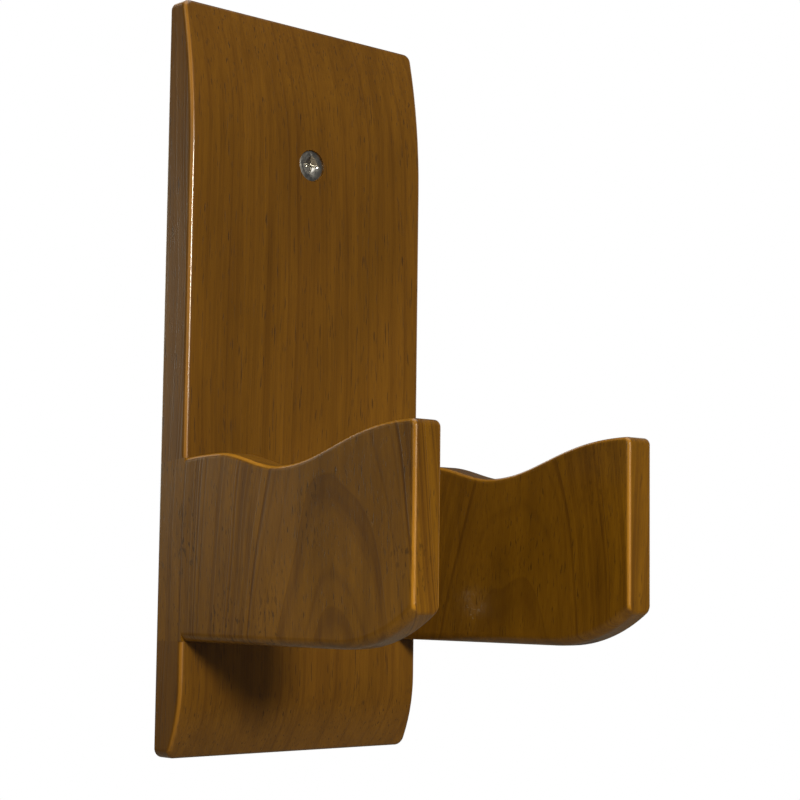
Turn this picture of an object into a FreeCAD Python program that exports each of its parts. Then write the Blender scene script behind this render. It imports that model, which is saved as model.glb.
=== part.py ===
import FreeCAD, Part
import os

# Wall guitar hanger in varnished hardwood: a tall back board with a flat arm let into each of
# its side edges, glued and dowelled, and held on the wall by two countersunk wood screws.
# Millimetres. X runs across the board, -Y out from the wall, +Z up.
# The origin is the centre of the board's back face, which lies on the wall at Y = 0.
# The depths named below are distances from the wall, along -Y.

# Back board
BOARD_WIDTH = 75.0
BOARD_HEIGHT = 183.0
BOARD_THICKNESS = 10.0
BOARD_END_THICKNESS = 5.5       # the front face curves back to this at both ends
TOP_EASING = 38.0               # height of that curve at the top
BOTTOM_EASING = 18.0            # height of that curve at the bottom
BOARD_CORNER_R = 2.2            # corners of the board seen from the front
BOARD_FRONT_R = 1.2             # round-over along the front edges
BOARD_BACK_R = 0.6              # broken edge along the wall

# Arms: flat planks with a cradle on top and an underside that sweeps up at the front
ARM_REACH = 90.0
ARM_THICKNESS = 8.0
ARM_EDGE_R = 1.2                # broken edges on top and round the front face
ARM_UNDER_R = 2.2               # round-over along the underside, in front of the board
ARM_BOTTOM_Z = -64.0
ARM_REAR_TOP_Z = -21.8          # top of the arm at the wall
ARM_REAR_SLOPE = 0.1            # rise of the top edge per millimetre, at the wall
CREST_DEPTH = 23.0              # rear crest of the cradle
CREST_Z = -20.1
DIP_DEPTH = 44.5                # lowest point of the cradle
DIP_Z = -23.9
HORN_Z = -15.5                  # top of the horn, at the front end
HORN_NOSE_R = 1.6
SWEEP_LENGTH = 24.0             # arc under the front end, tangent to the underside
SWEEP_R = 39.5

# Blind dowels across each joint, two to an arm
DOWEL_R = 2.0
DOWEL_IN_ARM = 5.0
DOWEL_IN_BOARD = 11.0
DOWEL_Z = {"upper": -33.0, "lower": -53.5}

# Wall screws
SCREW_Z = {"upper": 55.0, "lower": -55.0}
SCREW_HOLE_R = 2.25
SHANK_R = 1.5                   # smooth shank, through the board
THREAD_R = 2.0                  # outside of the thread, in the wall
THREAD_START = 1.0              # distance behind the board's back face
SCREW_LENGTH = 40.0
SCREW_POINT = 6.0
SCREW_HEAD_R = 4.0
SCREW_HEAD_RIM = 0.4            # short cylinder above the countersunk cone
SCREW_HEAD_SINK = 0.3           # the head's flat lies this far below the board's face
RECESS_WIDTH = 1.1              # cross recess
RECESS_SPAN = 4.2
RECESS_DEPTH = 1.6

ACROSS = FreeCAD.Vector(1, 0, 0)
TO_WALL = FreeCAD.Vector(0, 1, 0)
HALF_WIDTH = BOARD_WIDTH / 2
HALF_HEIGHT = BOARD_HEIGHT / 2
NOTCH_FLOOR = HALF_WIDTH - ARM_THICKNESS
HEAD_FACE_Y = -BOARD_THICKNESS + SCREW_HEAD_SINK
FAR = 500.0                     # larger than the whole hanger
NEAR = 0.01                     # an edge this close to a plane counts as lying in it


def at(depth, z):
    """A point of the side view: a distance from the wall and a height."""
    return FreeCAD.Vector(0, -depth, z)


def line(start, end):
    return Part.LineSegment(start, end).toShape()


def eased_end(end_z, flat_z):
    """Arc of the board's front face, tangent to the flat part at flat_z, thin at end_z."""
    run = abs(end_z - flat_z)
    drop = BOARD_THICKNESS - BOARD_END_THICKNESS
    radius = (run ** 2 + drop ** 2) / (2 * drop)
    middle_drop = radius - (radius ** 2 - (run / 2) ** 2) ** 0.5
    middle = at(BOARD_THICKNESS - middle_drop, (end_z + flat_z) / 2)
    return Part.Arc(at(BOARD_END_THICKNESS, end_z), middle, at(BOARD_THICKNESS, flat_z)).toShape()


def is_outline_corner(edge):
    """True for the four short edges along Y at the corners of the front view."""
    box = edge.BoundBox
    return box.XLength < NEAR and box.ZLength < NEAR and box.YLength > NEAR


def is_seam_of_flat_face(edge):
    """True for the two lines across the board where the flat front meets its curved ends."""
    box = edge.BoundBox
    return box.ZLength < NEAR and box.YMax < NEAR - BOARD_THICKNESS


def make_board_blank():
    """Board with its curved front face and rounded edges, before the notches and holes."""
    top_flat_z = HALF_HEIGHT - TOP_EASING
    low_flat_z = -HALF_HEIGHT + BOTTOM_EASING
    side_view = Part.Wire([
        line(at(0, -HALF_HEIGHT), at(BOARD_END_THICKNESS, -HALF_HEIGHT)),
        eased_end(-HALF_HEIGHT, low_flat_z),
        line(at(BOARD_THICKNESS, low_flat_z), at(BOARD_THICKNESS, top_flat_z)),
        eased_end(HALF_HEIGHT, top_flat_z),
        line(at(BOARD_END_THICKNESS, HALF_HEIGHT), at(0, HALF_HEIGHT)),
        line(at(0, HALF_HEIGHT), at(0, -HALF_HEIGHT)),
    ])
    blank = Part.Face(side_view).extrude(ACROSS * BOARD_WIDTH)
    blank.translate(ACROSS * -HALF_WIDTH)
    blank = blank.makeFillet(BOARD_CORNER_R, [e for e in blank.Edges if is_outline_corner(e)])
    fronts = [e for e in blank.Edges if e.BoundBox.YMax < NEAR - BOARD_END_THICKNESS
              and not is_seam_of_flat_face(e)]
    blank = blank.makeFillet(BOARD_FRONT_R, fronts)
    backs = [e for e in blank.Edges if e.BoundBox.YMin > -NEAR]
    return blank.makeFillet(BOARD_BACK_R, backs)


def spline(points, tangents):
    """Smooth curve through the points, with the given direction at each."""
    curve = Part.BSplineCurve()
    curve.interpolate(Points=points, Tangents=tangents, TangentFlags=[True] * len(points))
    return curve.toShape()


def sweep_rise(run):
    """Height of the underside's front arc above its flat part, this far along it."""
    return SWEEP_R - (SWEEP_R ** 2 - run ** 2) ** 0.5


SWEEP_TOP_Z = ARM_BOTTOM_Z + sweep_rise(SWEEP_LENGTH)


def make_arm_outline():
    """Side view of an arm, in the plane X = 0, from the wall to the front end."""
    outward = FreeCAD.Vector(0, -1, 0)
    rear_top = at(0, ARM_REAR_TOP_Z)
    rear_slope = FreeCAD.Vector(0, -1, ARM_REAR_SLOPE)
    horn = at(ARM_REACH - HORN_NOSE_R, HORN_Z)
    cradle = spline([rear_top, at(CREST_DEPTH, CREST_Z), at(DIP_DEPTH, DIP_Z), horn],
                    [rear_slope, outward, outward, outward])
    nose_end = at(ARM_REACH, HORN_Z - HORN_NOSE_R)
    nose_bulge = HORN_NOSE_R * (1 - 0.5 ** 0.5)
    nose_middle = at(ARM_REACH - nose_bulge, HORN_Z - nose_bulge)
    sweep_start = at(ARM_REACH - SWEEP_LENGTH, ARM_BOTTOM_Z)
    half = SWEEP_LENGTH / 2
    sweep_middle = at(ARM_REACH - half, ARM_BOTTOM_Z + sweep_rise(half))
    sweep_end = at(ARM_REACH, SWEEP_TOP_Z)
    rear_low = at(0, ARM_BOTTOM_Z)
    return Part.Wire([
        cradle,
        Part.Arc(horn, nose_middle, nose_end).toShape(),
        line(nose_end, sweep_end),
        Part.Arc(sweep_end, sweep_middle, sweep_start).toShape(),
        line(sweep_start, rear_low),
        line(rear_low, rear_top),
    ])


def is_on_side_face(edge):
    """True for edges of the arm's outer and inner faces, apart from the one at the wall."""
    return edge.BoundBox.XLength < NEAR and edge.BoundBox.YMin < -NEAR


def is_under_front_face(edge):
    """True for the rounded lower edges of the arm's front face."""
    box = edge.BoundBox
    return box.YMax < NEAR - ARM_REACH and box.ZMax < SWEEP_TOP_Z + ARM_UNDER_R + NEAR


def make_arm():
    """Left arm, its outer face flush with the board's side, and its part inside the notch."""
    blank = Part.Face(make_arm_outline()).extrude(ACROSS * ARM_THICKNESS)
    blank.translate(ACROSS * -HALF_WIDTH)
    in_notch = Part.makeBox(FAR, BOARD_THICKNESS, FAR,
                            FreeCAD.Vector(-FAR / 2, -BOARD_THICKNESS, -FAR / 2))
    tab = blank.common(in_notch)
    at_wall = [e for e in tab.Edges if e.BoundBox.YMin > -NEAR
               and e.BoundBox.XMax < NEAR - HALF_WIDTH]
    tab = tab.makeFillet(BOARD_BACK_R, at_wall)
    under = [e for e in blank.Edges if is_on_side_face(e)
             and e.BoundBox.ZMax < SWEEP_TOP_Z + NEAR]
    front = blank.makeFillet(ARM_UNDER_R, under)
    rims = [e for e in front.Edges if is_under_front_face(e)
            or (is_on_side_face(e) and e.BoundBox.ZMax > SWEEP_TOP_Z + ARM_UNDER_R)]
    front = front.makeFillet(ARM_EDGE_R, rims).cut(in_notch)
    return front.fuse(tab).removeSplitter(), tab


def mirrored(shape):
    return shape.mirror(FreeCAD.Vector(0, 0, 0), ACROSS)


def make_dowel(z):
    """Left dowel, across the floor of the notch at mid thickness of the board."""
    start = FreeCAD.Vector(-NOTCH_FLOOR - DOWEL_IN_ARM, -BOARD_THICKNESS / 2, z)
    return Part.makeCylinder(DOWEL_R, DOWEL_IN_ARM + DOWEL_IN_BOARD, start, ACROSS)


def make_screw_head(z):
    """Countersunk head: a short rim and a 90 degree cone down to the shank."""
    rim_start = FreeCAD.Vector(0, HEAD_FACE_Y, z)
    cone_start = rim_start + TO_WALL * SCREW_HEAD_RIM
    rim = Part.makeCylinder(SCREW_HEAD_R, SCREW_HEAD_RIM, rim_start, TO_WALL)
    cone = Part.makeCone(SCREW_HEAD_R, SHANK_R, SCREW_HEAD_R - SHANK_R, cone_start, TO_WALL)
    return rim.fuse(cone)


def make_screw(z):
    """Wood screw with a cross recess. Its threaded half and its point are in the wall."""
    head_start = FreeCAD.Vector(0, HEAD_FACE_Y, z)
    thread_start = FreeCAD.Vector(0, THREAD_START, z)
    tip_start = FreeCAD.Vector(0, HEAD_FACE_Y + SCREW_LENGTH - SCREW_POINT, z)
    shank = Part.makeCylinder(SHANK_R, THREAD_START - HEAD_FACE_Y, head_start, TO_WALL)
    thread = Part.makeCylinder(THREAD_R, tip_start.y - THREAD_START, thread_start, TO_WALL)
    tip = Part.makeCone(THREAD_R, 0, SCREW_POINT, tip_start, TO_WALL)
    body = make_screw_head(z).fuse([shank, thread, tip]).removeSplitter()
    for size_x, size_z in ((RECESS_SPAN, RECESS_WIDTH), (RECESS_WIDTH, RECESS_SPAN)):
        corner = FreeCAD.Vector(-size_x / 2, HEAD_FACE_Y, z - size_z / 2)
        body = body.cut(Part.makeBox(size_x, RECESS_DEPTH, size_z, corner))
    return body


def make_screw_hole(z):
    """Clearance hole and countersink, with the sunk head's own width carried to the face."""
    mouth_start = FreeCAD.Vector(0, HEAD_FACE_Y - BOARD_THICKNESS, z)
    mouth = Part.makeCylinder(SCREW_HEAD_R, BOARD_THICKNESS, mouth_start, TO_WALL)
    bore = Part.makeCylinder(SCREW_HOLE_R, 2 * BOARD_THICKNESS, mouth_start, TO_WALL)
    return make_screw_head(z).fuse([mouth, bore])


def save(shape, node):
    solid = shape.Solids[0]
    if len(shape.Solids) != 1 or not solid.isValid():
        raise RuntimeError(node + " is not one valid solid")
    solid.exportStep("parts/" + node + ".step")
    print(node, round(solid.Volume), "mm3")


def main():
    os.makedirs("parts", exist_ok=True)
    arm, tab = make_arm()
    board = make_board_blank().cut([tab, mirrored(tab)])
    for place, z in DOWEL_Z.items():
        dowel = make_dowel(z)
        arm = arm.cut(dowel)
        board = board.cut([dowel, mirrored(dowel)])
        save(dowel, "left_" + place + "_dowel")
        save(mirrored(dowel), "right_" + place + "_dowel")
    for place, z in SCREW_Z.items():
        board = board.cut(make_screw_hole(z))
        save(make_screw(z), place + "_wall_screw")
    save(arm, "left_arm")
    save(mirrored(arm), "right_arm")
    save(board, "back_board")


main()
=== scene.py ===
import math

import bmesh
import bpy
from mathutils import Matrix, Vector


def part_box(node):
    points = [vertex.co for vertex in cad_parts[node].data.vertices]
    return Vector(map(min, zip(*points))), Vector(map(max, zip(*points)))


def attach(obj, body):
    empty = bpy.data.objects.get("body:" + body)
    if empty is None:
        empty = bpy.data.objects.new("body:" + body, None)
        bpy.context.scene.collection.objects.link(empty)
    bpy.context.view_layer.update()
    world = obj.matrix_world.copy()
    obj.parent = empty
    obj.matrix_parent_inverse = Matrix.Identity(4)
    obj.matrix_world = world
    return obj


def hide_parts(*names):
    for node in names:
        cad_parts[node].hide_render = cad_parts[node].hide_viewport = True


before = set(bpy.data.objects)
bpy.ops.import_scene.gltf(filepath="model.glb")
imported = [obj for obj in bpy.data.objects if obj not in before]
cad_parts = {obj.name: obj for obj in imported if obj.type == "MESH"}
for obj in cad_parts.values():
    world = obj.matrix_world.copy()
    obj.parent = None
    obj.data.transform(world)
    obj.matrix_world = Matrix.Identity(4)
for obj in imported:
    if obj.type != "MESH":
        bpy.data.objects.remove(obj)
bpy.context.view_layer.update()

# Metres, in the frame of the CAD model: X across the board, -Y out from the wall, +Z up.
MM = 0.001

# Camera: low on the left, looking slightly up at the front
CAMERA_PLACE = (-0.312, -0.387, -0.0495)
CAMERA_YAW = 42.3               # degrees from +Y towards +X
CAMERA_PITCH = 5.3
CAMERA_ROLL = 0.7
CAMERA_LENS = 88.4              # mm
SENSOR_WIDTH = 36.0             # mm

# Stage
FLOOR_RADIUS = 1.4
FLOOR_DROP = 0.45               # the hanger floats this far above the floor
FLOOR_SEEN = (0.95, 0.95, 0.94, 1)
FLOOR_GLOW = 0.45
FLOOR_BOUNCE = (0.26, 0.23, 0.18, 1)
FLOOR_ROUGHNESS = 0.9
WORLD_GLOW = 0.06
WHITE = (1.0, 1.0, 1.0, 1)

# Each light: name, azimuth, elevation, distance, size, power, colour
LIGHTS = (
    ("key", -18, 12, 1.1, 0.16, 10.0, (1.0, 0.93, 0.80)),
    ("left_fill", -160, 8, 1.2, 0.35, 1.6, (0.97, 0.99, 0.82)),
    ("left_glow", -78, 22, 1.3, 0.9, 3.0, (1.0, 0.88, 0.58)),
    ("right_fill", 100, 15, 1.3, 0.9, 2.0, (1.0, 0.95, 0.85)),
    ("back_fill", 172, 20, 1.4, 0.9, 6.0, (1.0, 0.95, 0.87)),
    ("top", 0, 86, 1.6, 1.8, 18.0, (1.0, 0.97, 0.92)),
)


def make_camera():
    data = bpy.data.cameras.new("camera")
    data.lens = CAMERA_LENS
    data.sensor_width = SENSOR_WIDTH
    data.clip_start = 0.01
    camera = bpy.data.objects.new("camera", data)
    bpy.context.scene.collection.objects.link(camera)
    turn = Matrix.Rotation(math.radians(-CAMERA_YAW), 4, "Z")
    lift = Matrix.Rotation(math.radians(90 + CAMERA_PITCH), 4, "X")
    roll = Matrix.Rotation(math.radians(CAMERA_ROLL), 4, "Z")
    camera.matrix_world = Matrix.Translation(CAMERA_PLACE) @ turn @ lift @ roll
    bpy.context.scene.camera = camera


def area_light(name, azimuth, elevation, distance, size, power, colour):
    """Square light aimed at the origin. Azimuth 0 is in front, and negative is to the left."""
    data = bpy.data.lights.new(name, "AREA")
    data.size = size
    data.energy = power
    data.color = colour
    light = bpy.data.objects.new(name, data)
    a, e = math.radians(azimuth), math.radians(elevation)
    direction = Vector((math.sin(a) * math.cos(e), -math.cos(a) * math.cos(e), math.sin(e)))
    light.location = direction * distance
    light.rotation_euler = direction.to_track_quat("Z", "Y").to_euler()
    bpy.context.scene.collection.objects.link(light)


def make_stage():
    disc = bmesh.new()
    bmesh.ops.create_circle(disc, cap_ends=True, radius=FLOOR_RADIUS, segments=128)
    bmesh.ops.translate(disc, verts=disc.verts, vec=(0, 0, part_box("back_board")[0].z - FLOOR_DROP))
    floor = finished("floor", disc)
    material = bpy.data.materials.new("floor_paper")
    material.use_nodes = True
    n = Nodes(material)
    # Bright where it is looked at, and darker in what it throws back at the hanger
    looked_at = n.add("ShaderNodeLightPath").outputs["Is Camera Ray"]
    n.feed(n.shader.inputs["Base Color"], n.mix(looked_at, FLOOR_BOUNCE, FLOOR_SEEN))
    n.shader.inputs["Roughness"].default_value = FLOOR_ROUGHNESS
    n.shader.inputs["Emission Color"].default_value = FLOOR_SEEN
    n.feed(n.shader.inputs["Emission Strength"], n.math("MULTIPLY", looked_at, FLOOR_GLOW))
    floor.data.materials.append(material)
    world = bpy.data.worlds.new("studio")
    world.use_nodes = True
    tree = world.node_tree
    sky = tree.nodes["Background"]
    sky.inputs["Color"].default_value = WHITE
    sky.inputs["Strength"].default_value = WORLD_GLOW
    seen = tree.nodes.new("ShaderNodeBackground")
    seen.inputs["Color"].default_value = WHITE
    seen.inputs["Strength"].default_value = 1.0
    path = tree.nodes.new("ShaderNodeLightPath")
    mix = tree.nodes.new("ShaderNodeMixShader")
    tree.links.new(path.outputs["Is Camera Ray"], mix.inputs["Fac"])
    tree.links.new(sky.outputs["Background"], mix.inputs[1])
    tree.links.new(seen.outputs["Background"], mix.inputs[2])
    tree.links.new(mix.outputs["Shader"], tree.nodes["World Output"].inputs["Surface"])
    bpy.context.scene.world = world
    bpy.context.scene.view_settings.view_transform = "Standard"
    for light in LIGHTS:
        area_light(*light)


class Nodes:
    """Short calls for building a material's node tree."""

    def __init__(self, material):
        self.tree = material.node_tree
        self.shader = self.tree.nodes["Principled BSDF"]

    def add(self, kind, **settings):
        node = self.tree.nodes.new(kind)
        for key, value in settings.items():
            setattr(node, key, value)
        return node

    def feed(self, socket, value):
        if isinstance(value, bpy.types.NodeSocket):
            self.tree.links.new(value, socket)
        else:
            socket.default_value = value

    def math(self, operation, first, second=0.0, third=0.0):
        node = self.add("ShaderNodeMath", operation=operation)
        for socket, value in zip(node.inputs, (first, second, third)):
            self.feed(socket, value)
        return node.outputs[0]

    def vector(self, operation, first, second=(0, 0, 0)):
        node = self.add("ShaderNodeVectorMath", operation=operation)
        self.feed(node.inputs[0], first)
        self.feed(node.inputs[1], second)
        return node.outputs["Value" if operation == "LENGTH" else "Vector"]

    def noise(self, place, scale, detail=2.0, roughness=0.5):
        node = self.add("ShaderNodeTexNoise")
        self.feed(node.inputs["Vector"], self.vector("MULTIPLY", place, scale))
        node.inputs["Scale"].default_value = 1.0
        node.inputs["Detail"].default_value = detail
        node.inputs["Roughness"].default_value = roughness
        return node

    def ramp(self, value, stops, smooth=False):
        """A number mapped through stops of (position, number)."""
        node = self.add("ShaderNodeMapRange")
        node.interpolation_type = "SMOOTHSTEP" if smooth else "LINEAR"
        (low, low_value), (high, high_value) = stops
        self.feed(node.inputs["Value"], value)
        node.inputs["From Min"].default_value = low
        node.inputs["From Max"].default_value = high
        node.inputs["To Min"].default_value = low_value
        node.inputs["To Max"].default_value = high_value
        return node.outputs["Result"]

    def mix(self, factor, first, second, blend="MIX"):
        node = self.add("ShaderNodeMix", data_type="RGBA", blend_type=blend)
        self.feed(node.inputs["Factor"], factor)
        self.feed(node.inputs[6], first)
        self.feed(node.inputs[7], second)
        return node.outputs[2]

    def bump(self, height, distance, strength=1.0, under=None):
        node = self.add("ShaderNodeBump")
        self.feed(node.inputs["Height"], height)
        node.inputs["Distance"].default_value = distance
        node.inputs["Strength"].default_value = strength
        if under is not None:
            self.feed(node.inputs["Normal"], under)
        return node.outputs["Normal"]


EDGE_WEAR_HIGHLIGHT_LIGHTER = 2.4              # edges lighter against the pale wood, partly wear and partly a painted highlight


def edge_wear_and_highlight(n):
    """Partly wear and partly a painted highlight: 1 on the round-overs beside a side face, 0 on flat
    faces and on faces that look down, which are left as shade.
    """
    normal = n.add("ShaderNodeNewGeometry").outputs["Normal"]
    split = n.add("ShaderNodeSeparateXYZ")
    n.feed(split.inputs[0], normal)
    across = n.math("ABSOLUTE", split.outputs["X"])
    rising = n.ramp(across, ((0.25, 0.0), (0.50, 1.0)), True)
    falling = n.ramp(across, ((0.80, 1.0), (0.96, 0.0)), True)
    upward = n.ramp(split.outputs["Z"], ((-0.45, 0.0), (-0.10, 1.0)), True)
    return n.math("MULTIPLY", n.math("MULTIPLY", rising, falling), upward)


def varnished_wood(name, pith, tilt, colours, seed, ring_width=2.6, figure=0.3, flecks=0.0):
    """Hardwood with growth rings, fibres and open pores under a clear varnish.

    pith is the point (x, y) of the tree's centre line in metres, tilt its lean in degrees.
    colours are the pale wood, the dark wood and the pores. seed shifts the pattern along the
    grain. ring_width is in millimetres. figure and flecks are how strongly the growth rings
    and the small dark flecks show.
    """
    pale, dark, pore_colour = colours
    material = bpy.data.materials.new(name)
    material.use_nodes = True
    n = Nodes(material)
    place = n.add("ShaderNodeTexCoord").outputs["Object"]
    lean = n.add("ShaderNodeMapping", vector_type="POINT")
    n.feed(lean.inputs["Vector"], place)
    lean.inputs["Location"].default_value = (-pith[0], -pith[1], seed)
    lean.inputs["Rotation"].default_value = [math.radians(angle) for angle in tilt]
    along = lean.outputs["Vector"]
    # Growth rings of uneven width and darkness, warped so that no line is straight
    warp = n.noise(along, (16, 16, 4), 3.0)
    drift = n.vector("SUBTRACT", warp.outputs["Color"], (0.5, 0.5, 0.5))
    warped = n.vector("ADD", along, n.vector("MULTIPLY", drift, (0.012, 0.012, 0.0)))
    radius = n.vector("LENGTH", n.vector("MULTIPLY", warped, (1, 1, 0)))
    uneven = n.add("ShaderNodeTexNoise", noise_dimensions="1D")
    n.feed(uneven.inputs["W"], n.math("MULTIPLY", radius, 130.0))
    uneven.inputs["Detail"].default_value = 2.0
    ring_count = n.math("MULTIPLY_ADD", radius, 1 / (ring_width * MM),
                        n.math("MULTIPLY", uneven.outputs["Fac"], 1.6))
    phase = n.math("FRACT", ring_count)
    late = n.ramp(phase, ((0.25, 0.0), (0.93, 1.0)), True)
    fall = n.ramp(phase, ((0.93, 1.0), (1.0, 0.0)), True)
    ring_tone = n.add("ShaderNodeTexNoise", noise_dimensions="1D")
    n.feed(ring_tone.inputs["W"], n.math("MULTIPLY", radius, 290.0))
    ring_tone.inputs["Detail"].default_value = 1.0
    ring = n.math("MULTIPLY", n.math("MULTIPLY", late, fall),
                  n.ramp(ring_tone.outputs["Fac"], ((0.32, 0.1), (0.68, 1.0))))
    # Long fibres, wider streaks, short open pores, soft clouds of tone and flecks in patches
    fibre = n.noise(warped, (1900, 1900, 45), 3.0, 0.6).outputs["Fac"]
    streak = n.noise(warped, (300, 300, 11), 4.0, 0.6).outputs["Fac"]
    pore_noise = n.noise(warped, (3000, 3000, 190), 1.0, 0.4).outputs["Fac"]
    pore = n.math("MULTIPLY", n.ramp(pore_noise, ((0.62, 0.0), (0.72, 1.0)), True),
                  n.ramp(phase, ((0.0, 1.0), (0.8, 0.35))))
    cloud = n.noise(along, (30, 30, 13), 4.0, 0.55).outputs["Fac"]
    fleck_noise = n.noise(along, (1100, 1100, 420), 2.0, 0.5).outputs["Fac"]
    fleck_patch = n.noise(along, (45, 45, 30), 1.0).outputs["Fac"]
    fleck = n.math("MULTIPLY", n.ramp(fleck_noise, ((0.56, 0.0), (0.66, flecks)), True),
                   n.ramp(fleck_patch, ((0.52, 0.0), (0.64, 1.0)), True))
    # Colour
    grain = n.math("ADD", n.math("MULTIPLY", ring, figure),
                   n.math("MULTIPLY", n.ramp(streak, ((0.35, 0.0), (0.68, 1.0))), 0.40))
    base = n.mix(grain, pale, dark)
    base = n.mix(n.ramp(fibre, ((0.3, 0.0), (0.75, 0.40))), base, dark)
    tone = n.ramp(cloud, ((0.25, 0.70), (0.75, 1.22)))
    tint = n.add("ShaderNodeCombineColor")
    for socket in tint.inputs:
        n.feed(socket, tone)
    base = n.mix(1.0, base, tint.outputs[0], "MULTIPLY")
    base = n.mix(n.math("MAXIMUM", n.math("MULTIPLY", pore, 0.75), fleck), base, pore_colour)
    # Round-over edges lightened, partly as wear and partly as a painted highlight; faces that look
    # down get none, as painted shade
    wear_and_highlight = n.math("MULTIPLY", edge_wear_and_highlight(n), n.ramp(cloud, ((0.3, 0.25), (0.7, 0.7))))
    base = n.mix(wear_and_highlight, base, [min(1.0, channel * EDGE_WEAR_HIGHLIGHT_LIGHTER) for channel in pale[:3]] + [1])
    n.feed(n.shader.inputs["Base Color"], base)
    # Varnish: rougher over the pores, with a slight unevenness
    rough = n.math("ADD", n.ramp(cloud, ((0.2, 0.30), (0.8, 0.42))), n.math("MULTIPLY", pore, 0.15))
    n.feed(n.shader.inputs["Roughness"], rough)
    n.shader.inputs["Specular IOR Level"].default_value = 0.2
    n.shader.inputs["Coat Weight"].default_value = 0.6
    n.shader.inputs["Coat Roughness"].default_value = 0.15
    n.shader.inputs["Coat IOR"].default_value = 1.5
    wave = n.noise(along, (60, 60, 30), 2.0).outputs["Fac"]
    brushed = n.bump(wave, 0.35 * MM, 0.5)
    relief = n.math("SUBTRACT", n.math("MULTIPLY", fibre, 0.4), ring)
    normal = n.bump(relief, 0.04 * MM, 0.6, brushed)
    hollow = n.math("MULTIPLY", pore, -1.0)
    normal = n.bump(hollow, 0.05 * MM, 0.4, normal)
    n.feed(n.shader.inputs["Normal"], normal)
    n.feed(n.shader.inputs["Coat Normal"], n.bump(hollow, 0.02 * MM, 0.2, brushed))
    return material


ZINC_LIGHT = (0.62, 0.60, 0.54, 1)
ZINC_DARK = (0.50, 0.49, 0.47, 1)


def plain_metal(name):
    """Zinc-plated steel, slightly mottled."""
    material = bpy.data.materials.new(name)
    material.use_nodes = True
    n = Nodes(material)
    place = n.add("ShaderNodeTexCoord").outputs["Object"]
    spots = n.noise(place, (900, 900, 900), 3.0).outputs["Fac"]
    n.feed(n.shader.inputs["Base Color"], n.mix(spots, ZINC_LIGHT, ZINC_DARK))
    n.shader.inputs["Metallic"].default_value = 1.0
    n.feed(n.shader.inputs["Roughness"], n.ramp(spots, ((0.3, 0.22), (0.7, 0.38))))
    return material


def set_material(node, material):
    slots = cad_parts[node].data.materials
    slots.clear()
    slots.append(material)


def ring_solid(name, rings, along, centre, segments):
    """Closed solid of rings about an axis: rings holds (distance along, radius at an angle).

    along is "X" or "Y", and distances count from the centre point.
    """
    mesh = bmesh.new()
    loops = []
    for distance, radius_at in rings:
        loop = []
        for step in range(segments):
            angle = 2 * math.pi * step / segments
            radius = radius_at(angle)
            u, v = radius * math.cos(angle), radius * math.sin(angle)
            offset = Vector((distance, u, v)) if along == "X" else Vector((u, distance, v))
            loop.append(mesh.verts.new(centre + offset))
        loops.append(loop)
    for near, far in zip(loops, loops[1:]):
        for step in range(segments):
            after = (step + 1) % segments
            mesh.faces.new((near[step], near[after], far[after], far[step]))
    mesh.faces.new(loops[0])
    mesh.faces.new(reversed(loops[-1]))
    bmesh.ops.recalc_face_normals(mesh, faces=mesh.faces)
    return finished(name, mesh)


def finished(name, mesh, sharp_angle=40):
    """Turns a bmesh into an object, smooth except across edges sharper than sharp_angle."""
    for face in mesh.faces:
        face.smooth = True
    for edge in mesh.edges:
        edge.smooth = edge.calc_face_angle(0) < math.radians(sharp_angle)
    data = bpy.data.meshes.new(name)
    mesh.to_mesh(data)
    mesh.free()
    piece = bpy.data.objects.new(name, data)
    bpy.context.scene.collection.objects.link(piece)
    return piece


def cut_away(piece, cutter):
    """Takes the cutter's solid out of the piece and deletes the cutter."""
    modifier = piece.modifiers.new("cut", "BOOLEAN")
    modifier.object = cutter
    modifier.operation = "DIFFERENCE"
    modifier.solver = "EXACT"
    graph = bpy.context.evaluated_depsgraph_get()
    data = bpy.data.meshes.new_from_object(piece.evaluated_get(graph))
    piece.modifiers.clear()
    piece.data = data
    bpy.data.objects.remove(cutter)


# Wall screws, in millimetres from the head's flat face
HEAD_EDGE = 0.25                # rounding of the head's rim
HEAD_EDGE_MIDDLE = 0.08         # the rounding's middle ring, in from the face and the side
RIM_DEPTH = 0.4
SHANK_R = 1.5
THREAD_START = 1.0              # behind the board's back face
THREAD_ROOT_R = 1.3
THREAD_OUTER_R = 2.0
THREAD_PITCH = 1.8
THREAD_RIDGE = 0.26             # half width of the ridge, in pitches
RINGS_PER_TURN = 12
SCREW_SEGMENTS = 40
TIP_LENGTH = 6.0
FIT_GAP = 0.03                  # keeps the head's skin off the countersink
RECESS_HALF_SPAN = 2.15
RECESS_HALF_WIDTH = 0.42
RECESS_DEPTH = 2.0
RECESS_TAPER = 0.72
CUTTER_MOUTH = (-0.3, 1.05)     # depth and scale of the cutter's end outside the head


def thread_ring(distance, start, length):
    """Radius round the screw at one distance, with the thread's ridge winding past it."""
    to_tip = max(0.0, min(1.0, (length - distance) / TIP_LENGTH))
    fade = max(0.0, min(1.0, (distance - start) / THREAD_PITCH))
    root = THREAD_ROOT_R * max(to_tip, 0.03)
    height = (THREAD_OUTER_R - THREAD_ROOT_R) * min(fade, to_tip ** 0.6)

    def radius_at(angle):
        turn = (distance / THREAD_PITCH - angle / (2 * math.pi)) % 1.0
        ridge = max(0.0, 1.0 - min(turn, 1.0 - turn) / THREAD_RIDGE)
        return (root + height * ridge) * MM

    return distance * MM, radius_at


def plain_ring(distance, radius):
    return distance * MM, lambda angle: radius * MM


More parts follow.
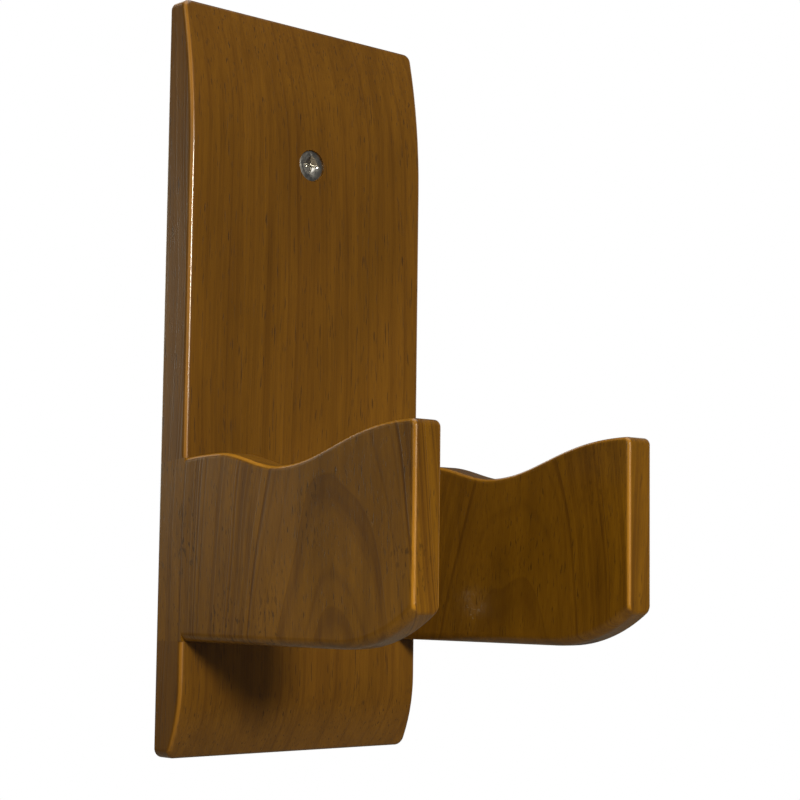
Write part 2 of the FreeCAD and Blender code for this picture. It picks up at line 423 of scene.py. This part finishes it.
def recess_cutter(centre):
    """Tapered cross, a little proud of the head's face."""
    mesh = bmesh.new()
    a, b = RECESS_HALF_SPAN, RECESS_HALF_WIDTH
    outline = [(a, -b), (a, b), (b, b), (b, a), (-b, a), (-b, b),
               (-a, b), (-a, -b), (-b, -b), (-b, -a), (b, -a), (b, -b)]
    loops = []
    for depth, size in (CUTTER_MOUTH, (RECESS_DEPTH, RECESS_TAPER)):
        loops.append([mesh.verts.new(centre + Vector((u * size, depth, v * size)) * MM)
                      for u, v in outline])
    count = len(outline)
    for step in range(count):
        after = (step + 1) % count
        mesh.faces.new((loops[0][step], loops[0][after], loops[1][after], loops[1][step]))
    mesh.faces.new(loops[0])
    mesh.faces.new(reversed(loops[1]))
    bmesh.ops.recalc_face_normals(mesh, faces=mesh.faces)
    return finished("recess_cutter", mesh)


def make_screw(place, material):
    node = place + "_wall_screw"
    low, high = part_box(node)
    centre = Vector(((low.x + high.x) / 2, low.y, (low.z + high.z) / 2))
    length = (high.y - low.y) / MM
    head_r = (high.x - low.x) / 2 / MM - FIT_GAP
    thread_start = -low.y / MM + THREAD_START
    cone_end = RIM_DEPTH + head_r - SHANK_R
    rings = [plain_ring(0.0, head_r - HEAD_EDGE),
             plain_ring(HEAD_EDGE_MIDDLE, head_r - HEAD_EDGE_MIDDLE),
             plain_ring(HEAD_EDGE, head_r), plain_ring(RIM_DEPTH, head_r),
             plain_ring(cone_end, SHANK_R), plain_ring(thread_start, SHANK_R)]
    steps = int((length - thread_start) / THREAD_PITCH * RINGS_PER_TURN)
    for step in range(1, steps + 1):
        distance = thread_start + (length - thread_start) * step / steps
        rings.append(thread_ring(distance, thread_start, length))
    screw = ring_solid(node + "_turned", rings, "Y", centre, SCREW_SEGMENTS)
    cut_away(screw, recess_cutter(centre))
    screw.data.materials.clear()
    screw.data.materials.append(material)
    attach(screw, "root")
    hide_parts(node)


# Dowels, in millimetres
FLUTES = 14
FLUTE_DEPTH = 0.22
DOWEL_CHAMFER = 0.5
DOWEL_GAP = 0.01                # keeps the dowel's skin off its hole
SEGMENTS_PER_FLUTE = 8


def make_dowel(side, place, material):
    """Fluted dowel with chamfered ends, so that its glue can spread."""
    node = side + "_" + place + "_dowel"
    low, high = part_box(node)
    centre = (low + high) / 2
    half = (high.x - low.x) / 2 / MM
    radius = (high.z - low.z) / 2 / MM - DOWEL_GAP

    def fluted(distance, inset):
        return distance * MM, lambda angle: MM * (
            radius - inset - FLUTE_DEPTH * (0.5 + 0.5 * math.cos(FLUTES * angle)) ** 3)

    rings = [fluted(-half, DOWEL_CHAMFER), fluted(DOWEL_CHAMFER - half, 0.0),
             fluted(half - DOWEL_CHAMFER, 0.0), fluted(half, DOWEL_CHAMFER)]
    dowel = ring_solid(node + "_fluted", rings, "X", centre, FLUTES * SEGMENTS_PER_FLUTE)
    dowel.data.materials.append(material)
    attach(dowel, "root")
    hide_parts(node)


# Wood colours: pale, dark, pores
TEAK = ((0.180, 0.078, 0.005, 1), (0.080, 0.030, 0.002, 1), (0.022, 0.009, 0.002, 1))
TEAK_ARM = ((0.230, 0.102, 0.004, 1), (0.096, 0.037, 0.002, 1), (0.026, 0.012, 0.002, 1))
BEECH = ((0.50, 0.33, 0.17, 1), (0.36, 0.21, 0.10, 1), (0.25, 0.13, 0.06, 1))
board_wood = varnished_wood("board_wood", (0.085, 0.060), (0.6, 0.4, 0), TEAK, 0.3)
left_wood = varnished_wood("left_arm_wood", (-0.085, -0.062), (2.0, 6.0, 0), TEAK_ARM, 1.7,
                           ring_width=4.5, figure=0.65, flecks=0.6)
right_wood = varnished_wood("right_arm_wood", (0.080, -0.055), (-2.0, -6.0, 0), TEAK_ARM, 2.9,
                            ring_width=4.5, figure=0.5, flecks=0.3)
dowel_wood = varnished_wood("dowel_wood", (0.0, 0.2), (0, 90, 0), BEECH, 4.0)
steel = plain_metal("screw_steel")
set_material("back_board", board_wood)
set_material("left_arm", left_wood)
set_material("right_arm", right_wood)
for place in ("upper", "lower"):
    make_screw(place, steel)
    for side in ("left", "right"):
        make_dowel(side, place, dowel_wood)

make_camera()
make_stage()
